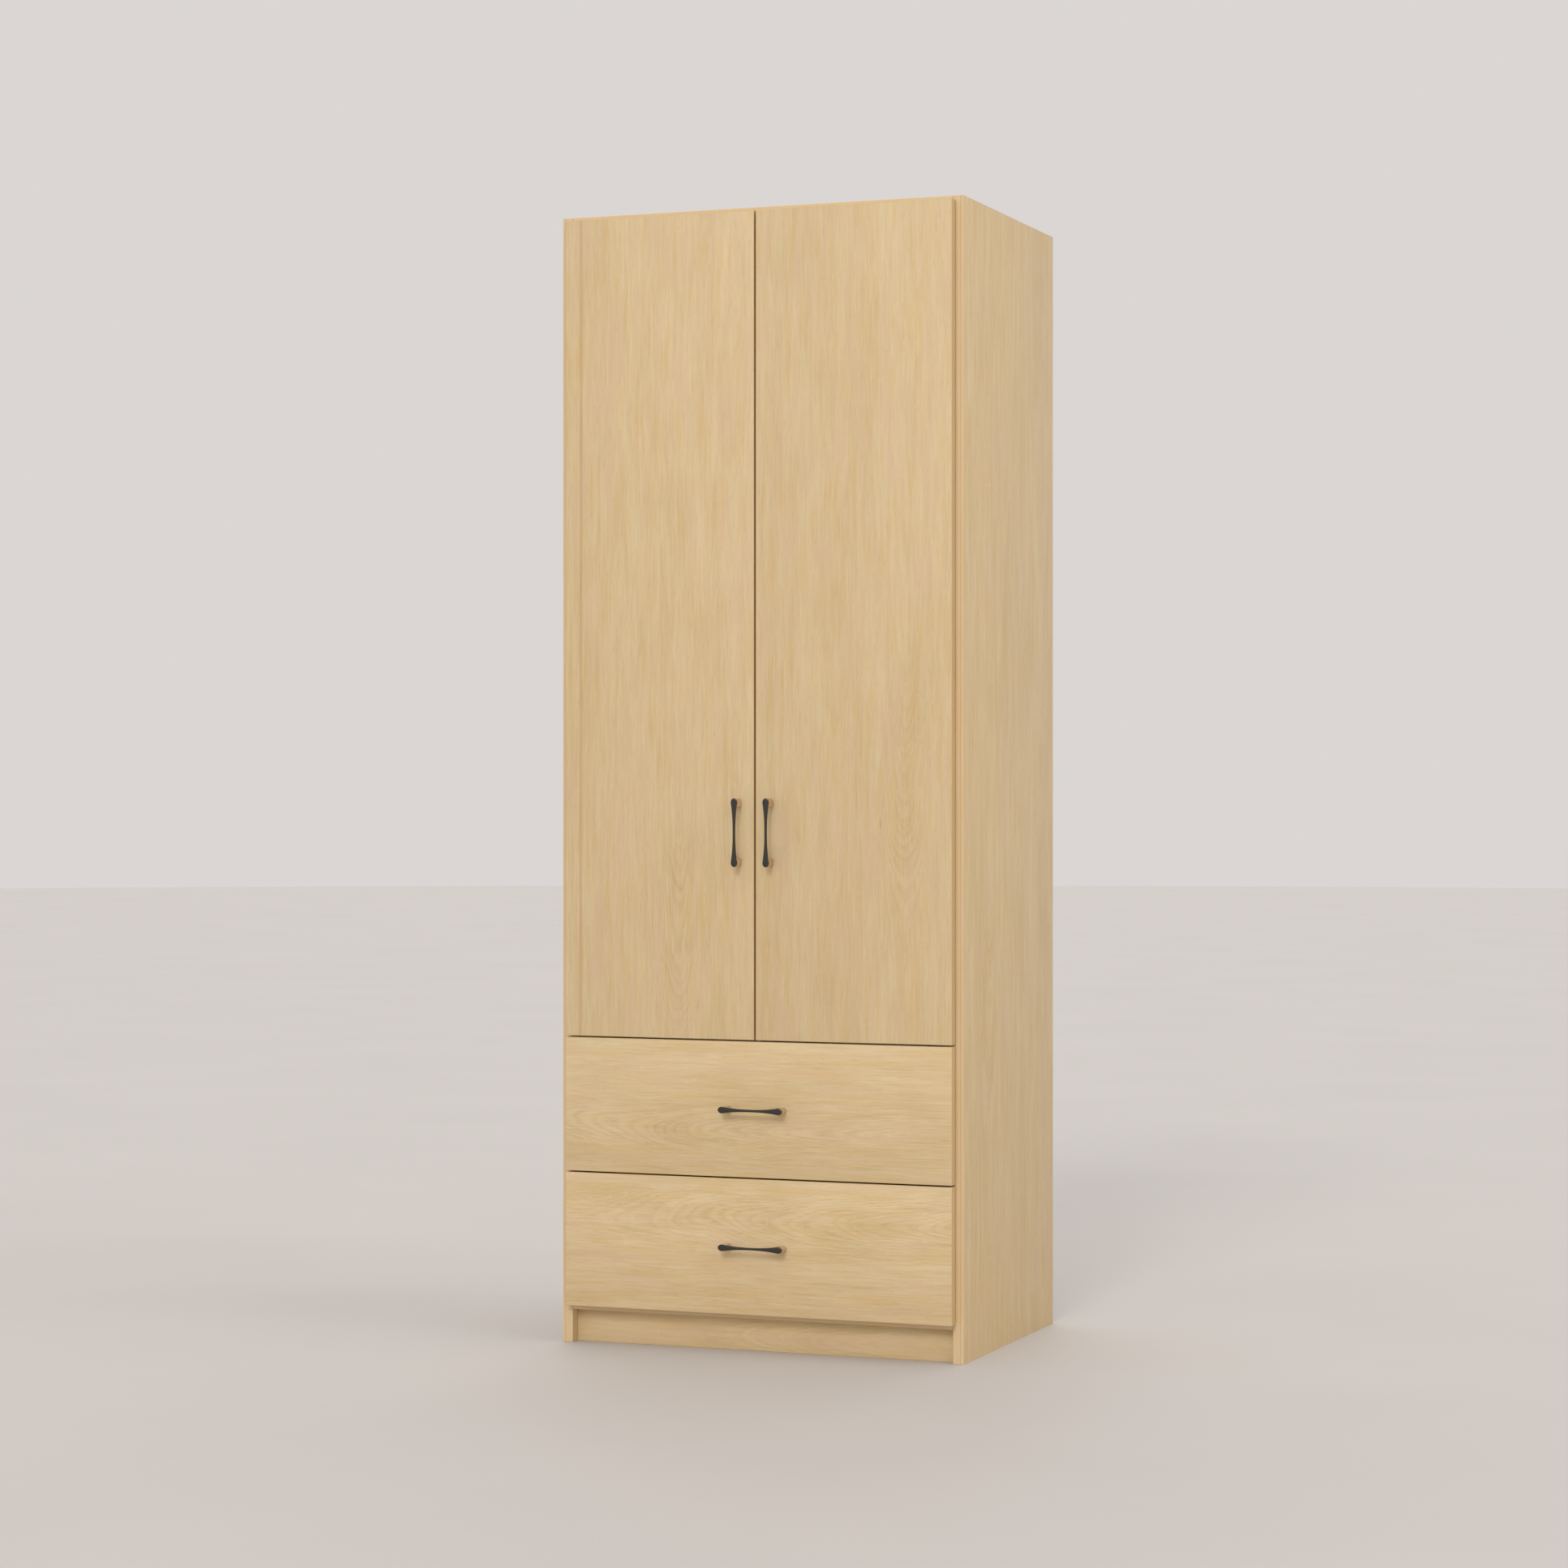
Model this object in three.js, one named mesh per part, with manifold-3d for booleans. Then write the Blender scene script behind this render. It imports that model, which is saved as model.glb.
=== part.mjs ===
// A tall two-door wardrobe cabinet with two drawers below the doors.
// Millimetres, +Z up, front towards -Y. The origin is at floor level, in the middle of the
// overall box, handles included.
import * as THREE from "three";
import { mergeVertices } from "three/addons/utils/BufferGeometryUtils.js";
import Module from "manifold-3d";

const wasm = await Module();
wasm.setup();

// ---------------------------------------------------------------- driving dimensions

// Carcass
const carcassWidth = 762;
const carcassHeight = 2032;
const carcassDepth = 533.4;
const boardThickness = 19;
const kickHeight = 60;
const kickRecess = 22;
const backThickness = 5;
const rebateDepth = 6;
const rebateWidth = 7;
const hatSpaceHeight = 300;
const seam = 0.3; // air left between two pieces that touch
const shelfSetback = 18; // the hat shelf stops this far behind the front edge

// Doors and drawer fronts
const frontThickness = 19;
const frontStandoff = 2; // the fronts close this far in front of the carcass
const sideReveal = 13.5; // carcass edge left showing beside a front
const topReveal = 8;
const frontGap = 3; // between two neighbouring fronts
const drawerFrontHeight = 240.3;
const bottomReveal = 9.4; // from the underside of the bottom panel up to the lowest front

// Drawer boxes
const boxThickness = 12;
const boxHeight = 180;
const boxLength = 480;
const boxRise = 24.6; // from the lower edge of a drawer front up to its box
const boxBottomThickness = 5;
const boxBottomRise = 10;
const grooveDepth = 6;

// Drawer slides, in three members that nest in one another
const slideThickness = 12.4;
const slideHeight = 45;
const slideLength = 470;
const slideSetback = 3;
const slideSheet = 1.2;
const slideNest = 4.6; // from one member's edge in to the next member's edge
const slideStep = 5; // from one member's web to the next member's web
const slideFlange = { cabinet: 8.9, middle: 4.9, drawer: 4.7 };
const drawerTravel = 440;

// Hanging rod, an oval tube
const rodHeight = 30;
const rodWidth = 15;
const rodWall = 1.2;
const rodDrop = 60; // from the underside of the hat shelf down to the rod's centre
const socketWall = 3;
const socketLength = 14;
const socketFlange = 7;

// Concealed hinges. Plan positions are [inset, back]: inset runs from the inner face of a
// side panel into the cabinet, and back runs from the front plane of the carcass inwards.
const hingeEndDistance = 100; // from a door's end to its outer hinge
const cupRadius = 17.5;
const cupDepth = 13;
const cupWall = 1;
const cupEdgeDistance = 5; // wood left between the bore and the door's edge
const cupFlange = 0.7;
const cupEarReach = 27;
const cupEarWidth = 14;
const boreClearance = 0.3;
const swingEdgeDistance = 7; // from the door's edge to the axis that it turns about
const swingDepth = 14; // from the door's back face to that axis
const doorSwing = 110; // degrees
const armPinPastCup = 8.9; // from the cup's centre to the arm's pin
const armPinAboveFloor = 4.5; // from the cup's underside to the arm's pin
const armPinRadius = 1.5;
const armHalfWidth = 6.4;
const armSlotHalfWidth = 5;
const linkLength = 18.7;
const linkRestAngle = 164.5; // degrees, in plan, from the inset direction
const linkShare = 0.5; // of the door's turn, the opposite way
const linkBulge = 4.3;
const linkHalfThickness = 1;
const linkEndRadius = 1.8;
const linkBossRadius = 2.8;
const linkHalfWidth = 4.5;
const linkPinClearance = 0.3;
const plateThickness = 2;
const plateWing = 22;

// Handles
const handleSpacing = 106; // between the centres of the two posts
const handleEndWidth = 12;
const handleWaist = 4.5;
const handleWaistPower = 2.3;
const handleEndReach = 7.8; // from a post's centre to the end of the bar
const handleBar = 5;
const handleProjection = 26;
const handleBevel = 0.8;
const postWidth = 11;
const postLength = 15;
const doorHandleInset = 30; // from the middle of the cabinet
const doorHandleHeight = 923;

// ---------------------------------------------------------------- derived places

const halfWidth = carcassWidth / 2;
const innerHalf = halfWidth - boardThickness;
const innerBack = carcassDepth - rebateDepth; // where the inside panels stop
const frontFace = -(frontStandoff + frontThickness);
const reach = frontStandoff + frontThickness + handleProjection;
const frontPlane = (reach - carcassDepth) / 2; // the carcass front plane in the part's frame

const frontHalf = halfWidth - sideReveal;
const lowerFrontBottom = kickHeight + bottomReveal;
const upperFrontBottom = lowerFrontBottom + drawerFrontHeight + frontGap;
const doorBottom = upperFrontBottom + drawerFrontHeight + frontGap;
const doorTop = carcassHeight - topReveal;
const shelfMiddle = doorBottom - frontGap / 2;
const shelfTop = shelfMiddle + boardThickness / 2;
const shelfUnderside = shelfMiddle - boardThickness / 2;
const hatShelfTop = carcassHeight - boardThickness - hatSpaceHeight;
const hatShelfUnderside = hatShelfTop - boardThickness;
const rodCentre = hatShelfUnderside - rodDrop;
const rodBack = innerBack / 2;

const frontOverlay = frontHalf - innerHalf; // how far a front covers the side panel's edge
const cupInset = cupEdgeDistance + cupRadius - frontOverlay;
const swingAxis = [swingEdgeDistance - frontOverlay, -frontStandoff - swingDepth];
const armPin = [cupInset + armPinPastCup, -frontStandoff - cupDepth + armPinAboveFloor];
const boxHalf = innerHalf - slideThickness - 2 * seam;
const boxFront = -frontStandoff + seam;
const boxBack = boxFront + boxLength;
const rodHalf = innerHalf - socketWall - 2 * seam;

// ---------------------------------------------------------------- materials

const finish = (color, roughness, metalness) => ({ color, roughness, metalness });
const finishes = {
  oak: finish(0xd3b88f, 0.55, 0),
  drawerBoard: finish(0xd9c6a6, 0.6, 0),
  hardboard: finish(0xc3a47c, 0.75, 0),
  darkMetal: finish(0x2f2a27, 0.28, 0.9),
  steel: finish(0xb9bcc0, 0.32, 0.95),
  chrome: finish(0xd0d2d6, 0.15, 1),
};

// ---------------------------------------------------------------- geometry helpers

function solid(geometry) {
  const bare = geometry.index ? geometry.toNonIndexed() : geometry.clone();
  bare.deleteAttribute("normal");
  bare.deleteAttribute("uv");
  const merged = mergeVertices(bare, 1e-4);
  const vertProperties = new Float32Array(merged.attributes.position.array);
  const triVerts = new Uint32Array(merged.index.array);
  return new wasm.Manifold(new wasm.Mesh({ numProp: 3, vertProperties, triVerts }));
}

function geometryOf(manifold) {
  const mesh = manifold.getMesh();
  const indexed = new THREE.BufferGeometry()
    .setAttribute("position", new THREE.BufferAttribute(new Float32Array(mesh.vertProperties), 3))
    .setIndex(new THREE.BufferAttribute(new Uint32Array(mesh.triVerts), 1));
  const flat = indexed.toNonIndexed();
  flat.computeVertexNormals();
  return flat;
}

// A block between two corners.
function block([x0, x1], [y0, y1], [z0, z1]) {
  const geometry = new THREE.BoxGeometry(x1 - x0, y1 - y0, z1 - z0);
  return geometry.translate((x0 + x1) / 2, (y0 + y1) / 2, (z0 + z1) / 2);
}

// A plan outline raised between two heights.
function raise(shape, z0, z1, curveSegments = 12) {
  const options = { depth: z1 - z0, bevelEnabled: false, curveSegments };
  return new THREE.ExtrudeGeometry(shape, options).translate(0, 0, z0);
}

// An oval, long in the outline's second direction.
function oval(width, length, path = new THREE.Shape()) {
  const r = width / 2;
  const straight = length / 2 - r;
  path.moveTo(r, -straight);
  path.lineTo(r, straight);
  path.absarc(0, straight, r, 0, Math.PI, false);
  path.lineTo(-r, -straight);
  path.absarc(0, -straight, r, Math.PI, 2 * Math.PI, false);
  return path;
}

function addMesh(group, name, geometry, look) {
  const mesh = new THREE.Mesh(geometry, new THREE.MeshStandardMaterial(look));
  mesh.name = name;
  group.add(mesh);
  return mesh;
}

// A board is a centred block that its mesh's position puts in place.
function addBoard(group, name, [x0, x1], [y0, y1], [z0, z1], look = finishes.oak) {
  const geometry = new THREE.BoxGeometry(x1 - x0, y1 - y0, z1 - z0);
  const mesh = addMesh(group, name, geometry, look);
  mesh.position.set((x0 + x1) / 2, (y0 + y1) / 2, (z0 + z1) / 2);
}

const sides = [
  { name: "left", sign: -1 },
  { name: "right", sign: 1 },
];

// ---------------------------------------------------------------- carcass

function addCarcass(group) {
  for (const { name, sign } of sides) {
    const across = (a, b) => [sign * a, sign * b].sort((p, q) => p - q);
    const panel = block(across(innerHalf, halfWidth), [0, carcassDepth], [0, carcassHeight]);
    const rebate = block(
      across(innerHalf - 1, innerHalf + rebateWidth + seam),
      [innerBack, carcassDepth + 1],
      [-1, carcassHeight + 1],
    );
    const cut = solid(panel).subtract(solid(rebate));
    addMesh(group, `side_panel_${name}`, geometryOf(cut), finishes.oak);
  }
  const between = [-innerHalf + seam, innerHalf - seam];
  const full = [0, innerBack];
  const boards = {
    top_panel: [full, [carcassHeight - boardThickness, carcassHeight]],
    hat_shelf: [[shelfSetback, innerBack], [hatShelfUnderside, hatShelfTop]],
    fixed_shelf: [full, [shelfUnderside, shelfTop]],
    bottom_panel: [full, [kickHeight, kickHeight + boardThickness]],
    toe_kick: [[kickRecess, kickRecess + boardThickness], [0, kickHeight - seam]],
    rear_kick_board: [[innerBack - boardThickness, innerBack], [0, kickHeight - seam]],
  };
  for (const [name, [back, up]] of Object.entries(boards))
    addBoard(group, name, between, back, up);

  const backHalf = innerHalf + rebateWidth;
  const backAt = [innerBack + seam, innerBack + seam + backThickness];
  const backUp = [kickHeight, carcassHeight - seam];
  addBoard(group, "back_panel", [-backHalf, backHalf], backAt, backUp, finishes.hardboard);
}

// ---------------------------------------------------------------- hanging rod

// An outline in (back, up) is raised along X by turning it a third of a turn about (1,1,1).
function alongX(geometry) {
  const turn = new THREE.Matrix4().makeBasis(
    new THREE.Vector3(0, 1, 0),
    new THREE.Vector3(0, 0, 1),
    new THREE.Vector3(1, 0, 0),
  );
  return geometry.applyMatrix4(turn);
}

function addHangingRod(group) {
  const tube = oval(rodWidth, rodHeight);
  tube.holes.push(oval(rodWidth - 2 * rodWall, rodHeight - 2 * rodWall, new THREE.Path()));
  const rod = addMesh(group, "hanging_rod", alongX(raise(tube, -rodHalf, rodHalf)), finishes.chrome);
  rod.position.set(0, rodBack, rodCentre);

  const innerWidth = rodWidth + 2 * seam;
  const innerHeight = rodHeight + 2 * seam;
  for (const { name, sign } of sides) {
    const collar = oval(innerWidth + 2 * socketWall, innerHeight + 2 * socketWall);
    const flange = oval(innerWidth + 2 * socketFlange, innerHeight + 2 * socketFlange);
    const bore = oval(innerWidth, innerHeight);
    const outer = solid(raise(collar, 0, socketLength)).add(solid(raise(flange, 0, socketWall)));
    const cut = outer.subtract(solid(raise(bore, socketWall, socketLength + 1)));
    const socket = addMesh(
      group,
      `rod_socket_${name}`,
      alongX(geometryOf(cut)),
      finishes.chrome,
    );
    socket.position.set(sign * (innerHalf - seam), rodBack, rodCentre);
    socket.rotation.z = sign > 0 ? Math.PI : 0;
  }
}

// ---------------------------------------------------------------- doors and hinges

const doorNames = { "-1": "door_left", 1: "door_right" };
const hingeHeights = [
  { name: "lower", height: doorBottom + hingeEndDistance },
  { name: "middle", height: (doorBottom + doorTop) / 2 },
  { name: "upper", height: doorTop - hingeEndDistance },
];

// A hinge plan point [inset, back] on one side of the cabinet.
const planPoint = (sign, [inset, back]) =>
  new THREE.Vector2(sign * (innerHalf - inset), back);

function planShape(sign, points) {
  return new THREE.Shape(points.map((point) => planPoint(sign, point)));
}

// A round post that stands up in a plan, at a hinge plan point.
function planPost(sign, centre, radius, halfHeight, sectors = 20) {
  const geometry = new THREE.CylinderGeometry(radius, radius, 2 * halfHeight, sectors);
  const { x, y } = planPoint(sign, centre);
  return geometry.rotateX(Math.PI / 2).translate(x, y, 0);
}

function addDoor(group, sign) {
  const name = doorNames[sign];
  const across = [sign * (frontGap / 2), sign * frontHalf].sort((a, b) => a - b);
  let door = solid(block(across, [frontFace, -frontStandoff], [doorBottom, doorTop]));
  const boreDepth = cupDepth + boreClearance;
  const sectors = 40;
  for (const { height } of hingeHeights) {
    const radius = cupRadius + boreClearance;
    const bore = new THREE.CylinderGeometry(radius, radius, boreDepth + 1, sectors);
    const { x } = planPoint(sign, [cupInset, 0]);
    bore.translate(x, -frontStandoff - boreDepth + (boreDepth + 1) / 2, height);
    door = door.subtract(solid(bore));
  }
  addMesh(group, name, geometryOf(door), finishes.oak);
}

// The cup: a pressed bowl in the door's bore, with two ears that screw to the door.
function addHingeCup(group, sign, name, height) {
  const rim = -frontStandoff + seam + cupFlange;
  const floor = -frontStandoff - cupDepth;
  const { x } = planPoint(sign, [cupInset, 0]);
  const cylinder = (radius, from, to) => {
    const shape = new THREE.CylinderGeometry(radius, radius, to - from, 40);
    return solid(shape.translate(0, (from + to) / 2, 0));
  };
  const ears = new THREE.ExtrudeGeometry(oval(cupEarWidth, 2 * cupEarReach), {
    depth: cupFlange,
    bevelEnabled: false,
    curveSegments: 8,
  });
  ears.rotateX(Math.PI / 2).translate(0, rim, 0);
  const cup = solid(ears)
    .add(cylinder(cupRadius + 1, rim - cupFlange, rim))
    .add(cylinder(cupRadius, floor, rim))
    .subtract(cylinder(cupRadius - cupWall, floor + cupWall, rim + 1));
  const mesh = addMesh(group, `${doorNames[sign]}_cup_${name}`, geometryOf(cup), finishes.steel);
  mesh.position.set(x, 0, height);
}

// The arm: a plate on the side panel, a neck, and two cheeks that hold the link's pin.
function addHingeArm(group, sign, name, height) {
  const [pinInset, pinBack] = armPin;
  const cheek = linkBossRadius;
  const neck = [
    [pinInset - cheek, pinBack],
    [pinInset - cheek, pinBack + 6],
    [pinInset - 6, pinBack + 14],
    [plateThickness + 8, pinBack + 23],
    [plateThickness, pinBack + 23],
    [plateThickness, pinBack + 70],
    [plateThickness + 10, pinBack + 70],
    [plateThickness + 12, pinBack + 28],
    [pinInset - 2, pinBack + 18],
    [pinInset + cheek, pinBack + 8],
    [pinInset + cheek, pinBack],
  ];
  const slot = [
    [pinInset - 30, pinBack - 20],
    [pinInset + 30, pinBack - 20],
    [pinInset + 30, pinBack + 8],
    [pinInset - 30, pinBack + 8],
  ];
  const arm = solid(raise(planShape(sign, neck), -armHalfWidth, armHalfWidth))
    .add(solid(planPost(sign, armPin, cheek, armHalfWidth)))
    .subtract(solid(raise(planShape(sign, slot), -armSlotHalfWidth, armSlotHalfWidth)))
    .add(solid(planPost(sign, armPin, armPinRadius, armHalfWidth - 0.2)));
  const across = [sign * (innerHalf - seam), sign * (innerHalf - plateThickness - 1)];
  const rail = block(
    across.sort((a, b) => a - b),
    [pinBack + 24, pinBack + 72],
    [-armHalfWidth - 3, armHalfWidth + 3],
  );
  const wings = block(across, [pinBack + 41, pinBack + 54], [-plateWing, plateWing]);
  const whole = arm.add(solid(rail)).add(solid(wings));
  const mesh = addMesh(group, `hinge_arm_${name}`, geometryOf(whole), finishes.steel);
  mesh.position.z = height;
}

// The link: a curved strap from the arm's pin into the cup. Its group stands on the pin.
function addHingeLink(group, sign, name, height) {
  const restAngle = THREE.MathUtils.degToRad(linkRestAngle);
  const along = new THREE.Vector2(Math.cos(restAngle), Math.sin(restAngle));
  const left = new THREE.Vector2(-along.y, along.x);
  const pointAt = (t, offset) => {
    const bulge = 4 * linkBulge * t * (1 - t) + offset;
    return [
      armPin[0] + along.x * linkLength * t + left.x * bulge,
      armPin[1] + along.y * linkLength * t + left.y * bulge,
    ];
  };
  const steps = 10;
  const strap = [];
  for (let i = 0; i <= steps; i += 1) strap.push(pointAt(i / steps, linkHalfThickness));
  for (let i = steps; i >= 0; i -= 1) strap.push(pointAt(i / steps, -linkHalfThickness));
  const link = solid(raise(planShape(sign, strap), -linkHalfWidth, linkHalfWidth))
    .add(solid(planPost(sign, armPin, linkBossRadius, linkHalfWidth)))
    .add(solid(planPost(sign, pointAt(1, 0), linkEndRadius, linkHalfWidth)))
    .subtract(solid(planPost(sign, armPin, armPinRadius + linkPinClearance, linkHalfWidth + 1)));
  const mesh = addMesh(group, `hinge_link_${name}`, geometryOf(link), finishes.steel);
  mesh.position.z = height;
}

// ---------------------------------------------------------------- handles

// A quarter of the bar's outline: a waist that swells to a round end, drawn inside the
// true edge by the bevel's width.
function handleQuarter() {
  const postAt = handleSpacing / 2;
  const waistSteps = 9;
  const endSteps = 7;
  const swell = handleEndWidth - handleWaist;
  const points = [];
  for (let i = 0; i <= waistSteps; i += 1) {
    const share = i / waistSteps;
    const wide = (handleWaist + swell * share ** handleWaistPower) / 2;
    points.push([wide - handleBevel, share * postAt]);
  }
  for (let i = 1; i < endSteps; i += 1) {
    const turn = (i / endSteps) * (Math.PI / 2);
    const wide = (handleEndWidth / 2 - handleBevel) * Math.cos(turn);
    points.push([wide, postAt + (handleEndReach - handleBevel) * Math.sin(turn)]);
  }
  return points;
}

// The handle lies along the outline's second direction, with its posts' feet at 0.
function handleGeometry() {
  const tip = handleSpacing / 2 + handleEndReach - handleBevel;
  const points = handleQuarter();
  const quarter = (sx, sy) => points.map(([u, v]) => new THREE.Vector2(sx * u, sy * v));
  const outline = [
    ...quarter(1, 1),
    new THREE.Vector2(0, tip),
    ...quarter(-1, 1).reverse(),
    ...quarter(-1, -1).slice(1),
    new THREE.Vector2(0, -tip),
    ...quarter(1, -1).reverse().slice(0, -1),
  ];
  const bar = new THREE.ExtrudeGeometry(new THREE.Shape(outline), {
    depth: handleBar - 2 * handleBevel,
    bevelThickness: handleBevel,
    bevelSize: handleBevel,
    bevelSegments: 1,
  });
  bar.translate(0, 0, handleProjection - handleBar + handleBevel);
  let whole = solid(bar);
  const postInner = handleSpacing / 2 + handleEndReach - postLength;
  for (const end of [-1, 1]) {
    const r = postWidth / 2;
    const foot = new THREE.Shape();
    foot.moveTo(-r, 0);
    foot.lineTo(r, 0);
    foot.lineTo(r, postLength - r - handleBevel);
    foot.absarc(0, postLength - r - handleBevel, r, 0, Math.PI, false);
    const post = raise(foot, seam, handleProjection - handleBar / 2, 8);
    if (end < 0) post.rotateZ(Math.PI);
    whole = whole.add(solid(post.translate(0, end * postInner, 0)));
  }
  return geometryOf(whole);
}

function addHandle(group, name, x, z, upright) {
  const handle = addMesh(group, name, handleGeometry(), finishes.darkMetal);
  handle.rotation.set(Math.PI / 2, 0, 0);
  if (!upright) handle.rotation.set(Math.PI / 2, 0, Math.PI / 2, "YXZ");
  handle.position.set(x, frontFace, z);
}

// ---------------------------------------------------------------- drawers and slides

function addDrawer(group, name, frontBottom) {
  const low = frontBottom + boxRise;
  const up = [low, low + boxHeight];
  const frontUp = [frontBottom, frontBottom + drawerFrontHeight];
  addBoard(group, `${name}_front`, [-frontHalf, frontHalf], [frontFace, -frontStandoff], frontUp);

  const boxInner = boxHalf - boxThickness;
  const floorLow = low + boxBottomRise;
  const floorUp = [floorLow, floorLow + boxBottomThickness];
  const groove = block(
    [-boxInner - grooveDepth - seam, boxInner + grooveDepth + seam],
    [boxFront + boxThickness - grooveDepth - seam, boxBack + 1],
    [floorUp[0] - seam, floorUp[1] + seam],
  );
  const grooved = (board) => geometryOf(solid(board).subtract(solid(groove)));
  for (const { name: side, sign } of sides) {
    const across = [sign * boxInner, sign * boxHalf].sort((a, b) => a - b);
    const board = block(across, [boxFront, boxBack], up);
    addMesh(group, `${name}_side_${side}`, grooved(board), finishes.drawerBoard);
  }
  const between = [-boxInner + seam, boxInner - seam];
  const boxFace = block(between, [boxFront, boxFront + boxThickness], up);
  addMesh(group, `${name}_box_front`, grooved(boxFace), finishes.drawerBoard);
  addBoard(
    group,
    `${name}_box_back`,
    between,
    [boxBack - boxThickness, boxBack],
    [floorUp[1] + seam, up[1]],
    finishes.drawerBoard,
  );
  addBoard(
    group,
    `${name}_bottom`,
    [-boxInner - grooveDepth, boxInner + grooveDepth],
    [boxFront + boxThickness - grooveDepth, boxBack],
    floorUp,
    finishes.hardboard,
  );
  addHandle(group, `${name}_handle`, 0, frontBottom + drawerFrontHeight / 2, false);
}

// A channel whose web stands at one distance from the side panel, with two flanges that
// reach towards it (-) or away from it (+).
function slideMember(sign, webAt, flangeReach, memberHeight) {
  const h = memberHeight / 2;
  const t = slideSheet;
  const webFar = webAt + Math.sign(flangeReach) * t;
  const flangeEnd = webAt + flangeReach;
  const outline = [
    [webAt, -h],
    [flangeEnd, -h],
    [flangeEnd, -h + t],
    [webFar, -h + t],
    [webFar, h - t],
    [flangeEnd, h - t],
    [flangeEnd, h],
    [webAt, h],
  ];
  const shape = new THREE.Shape(outline.map(([s, up]) => new THREE.Vector2(-sign * s, up)));
  const options = { depth: slideLength, bevelEnabled: false };
  const channel = new THREE.ExtrudeGeometry(shape, options);
  return channel.rotateX(Math.PI / 2).translate(0, slideLength, 0);
}

function addSlides(cabinetGroup, middleGroup, drawerGroup, name, frontBottom) {
  const height = frontBottom + boxRise + boxHeight / 2;
  const nested = (count) => slideHeight - 2 * count * slideNest;
  const members = [
    [cabinetGroup, "cabinet", 0, slideFlange.cabinet, nested(0)],
    [middleGroup, "middle", slideStep, slideFlange.middle, nested(1)],
    [drawerGroup, "drawer", slideThickness, -slideFlange.drawer, nested(2)],
  ];
  for (const { name: side, sign } of sides) {
    for (const [group, kind, webAt, flangeReach, tall] of members) {
      const geometry = slideMember(sign, webAt, flangeReach, tall);
      const mesh = addMesh(group, `${name}_slide_${kind}_${side}`, geometry, finishes.steel);
      mesh.position.set(sign * (innerHalf - seam), slideSetback, height);
    }
  }
}

// ---------------------------------------------------------------- assembly

// Moves a moving group's own origin onto its axis, and leaves its meshes where they are.
function standOn(group, { x, y }) {
  group.position.set(x, y, 0);
  for (const child of group.children) child.position.sub(group.position);
}

const armoire = new THREE.Group();
const cabinet = new THREE.Group();
cabinet.position.y = frontPlane;
armoire.add(cabinet);

addCarcass(cabinet);
addHangingRod(cabinet);

for (const { name: side, sign } of sides) {
  const door = new THREE.Group();
  const links = new THREE.Group();
  addDoor(door, sign);
  addHandle(door, `${doorNames[sign]}_handle`, sign * doorHandleInset, doorHandleHeight, true);
  for (const { name, height } of hingeHeights) {
    addHingeArm(cabinet, sign, `${side}_${name}`, height);
    addHingeLink(links, sign, `${side}_${name}`, height);
    addHingeCup(door, sign, name, height);
  }
  standOn(door, planPoint(sign, swingAxis));
  standOn(links, planPoint(sign, armPin));
  door.userData.motion = { turn: [0, 0, sign], degrees: doorSwing };
  links.userData.motion = { turn: [0, 0, -sign], degrees: linkShare * doorSwing };
  cabinet.add(door, links);
}

const drawers = [
  { name: "drawer_lower", frontBottom: lowerFrontBottom },
  { name: "drawer_upper", frontBottom: upperFrontBottom },
];
for (const { name, frontBottom } of drawers) {
  const drawer = new THREE.Group();
  const middles = new THREE.Group();
  addDrawer(drawer, name, frontBottom);
  addSlides(cabinet, middles, drawer, name, frontBottom);
  drawer.userData.motion = { slide: [0, -1, 0], distance: drawerTravel };
  middles.userData.motion = { slide: [0, -1, 0], distance: drawerTravel / 2 };
  cabinet.add(drawer, middles);
}

export default armoire;
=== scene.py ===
"""A tall wardrobe cabinet in pale oak laminate: two doors over two drawers, with bow-tie handles."""
import math

import bmesh
import bpy
from mathutils import Matrix, Vector


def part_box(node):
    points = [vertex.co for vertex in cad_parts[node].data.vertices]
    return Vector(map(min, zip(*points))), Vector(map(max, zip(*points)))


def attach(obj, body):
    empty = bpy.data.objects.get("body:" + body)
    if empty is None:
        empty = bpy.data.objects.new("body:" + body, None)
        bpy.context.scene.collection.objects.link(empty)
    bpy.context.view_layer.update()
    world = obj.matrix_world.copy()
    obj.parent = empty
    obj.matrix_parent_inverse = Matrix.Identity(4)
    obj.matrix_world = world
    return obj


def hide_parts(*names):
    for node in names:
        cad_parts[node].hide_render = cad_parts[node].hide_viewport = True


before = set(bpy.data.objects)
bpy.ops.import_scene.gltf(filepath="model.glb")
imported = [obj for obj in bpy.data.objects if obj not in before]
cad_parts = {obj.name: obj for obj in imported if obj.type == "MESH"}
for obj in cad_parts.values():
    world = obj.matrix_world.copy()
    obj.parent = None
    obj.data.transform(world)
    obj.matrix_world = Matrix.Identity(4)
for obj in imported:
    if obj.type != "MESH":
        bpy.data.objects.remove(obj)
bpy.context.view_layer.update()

MM = 0.001

# ------------------------------------------------------------------ places that come from the frame

SIDES = {"left": -1, "right": 1}
BACKWARD = (0, 1, 0)
DOWNWARD = (0, 0, -1)
CARCASS_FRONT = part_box("side_panel_left")[0][1]
DOOR_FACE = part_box("door_left")[0][1]
DOOR_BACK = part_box("door_left")[1][1]

# ------------------------------------------------------------------ sizes of the finish work

BAND = 0.8 * MM  # edge banding
BAND_JOINT = 0.06 * MM  # the line between banding and board
BAND_ROUND = 0.7 * MM
BOARD_ROUND = 0.15 * MM
CLEARANCE = 0.3 * MM  # round a board that sits in a rebate or a groove
OVERSHOOT = 5 * MM  # how far a cutting tool passes the face that it enters
TINY = 1e-6  # two levels closer than this, in metres, are the same


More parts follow.
